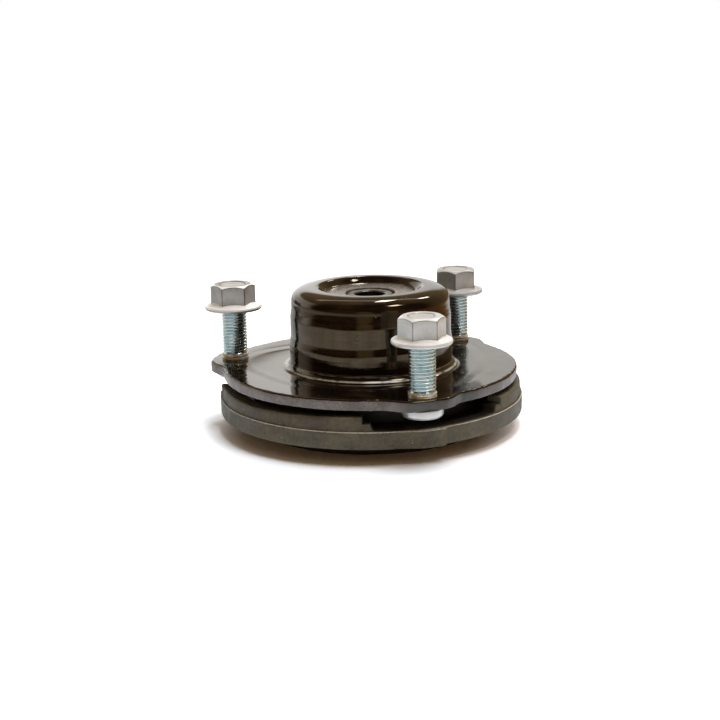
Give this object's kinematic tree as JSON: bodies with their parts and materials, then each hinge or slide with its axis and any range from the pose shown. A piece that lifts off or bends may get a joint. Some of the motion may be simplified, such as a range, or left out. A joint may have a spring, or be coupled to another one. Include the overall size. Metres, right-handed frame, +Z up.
{
  "type": "strut top plate",
  "caption": "Pressed steel dome plate with studs and flange nuts, a rubber rod bush and a rubber spring seat ring.",
  "frame": {"origin": "on the strut axis, level with the plate's top face, which seats against the body's strut tower", "axes": "+Z up along the strut axis, towards the dome's dish; the front stud lies on -Y, and the others 120 degrees on from it each way"},
  "size_m": [0.1152, 0.1219, 0.0538],
  "materials": {
    "black_paint": "gloss black dip paint",
    "blue_zinc": "blue passivated zinc plating",
    "zinc_flake": "matt zinc flake coating",
    "ring_rubber": "moulded, matt, dusty",
    "bare_steel": "turned, lightly oiled",
    "bush_rubber": "moulded, matt"
  },
  "bodies": {
    "mount": {"top_plate": "black_paint", "retainer_cup": "black_paint", "stud_front": "blue_zinc", "stud_right": "blue_zinc", "stud_left": "blue_zinc", "spring_insulator": "ring_rubber", "upper_cushion": "bush_rubber", "lower_cushion": "bush_rubber"},
    "rod_bush": {"centre_sleeve": "bare_steel", "load_disc": "bare_steel"},
    "nut_front": {"flange_nut_front": "zinc_flake"},
    "nut_right": {"flange_nut_right": "zinc_flake"},
    "nut_left": {"flange_nut_left": "zinc_flake"}
  },
  "joints": [
    {"name": "nut_front_travel", "type": "slide", "parent": "mount", "child": "nut_front", "axis": [0, 0, 1], "range_m": [-0.01625, 0]},
    {"name": "nut_right_travel", "type": "slide", "parent": "mount", "child": "nut_right", "axis": [0, 0, 1], "range_m": [-0.01625, 0]},
    {"name": "nut_left_travel", "type": "slide", "parent": "mount", "child": "nut_left", "axis": [0, 0, 1], "range_m": [-0.01625, 0]},
    {"name": "bush_travel", "type": "slide", "parent": "mount", "child": "rod_bush", "axis": [0, 0, 1], "range_m": [-0.0025, 0.0025], "stiffness_N_per_m": 150000, "deforming": ["upper_cushion", "lower_cushion"]}
  ]
}
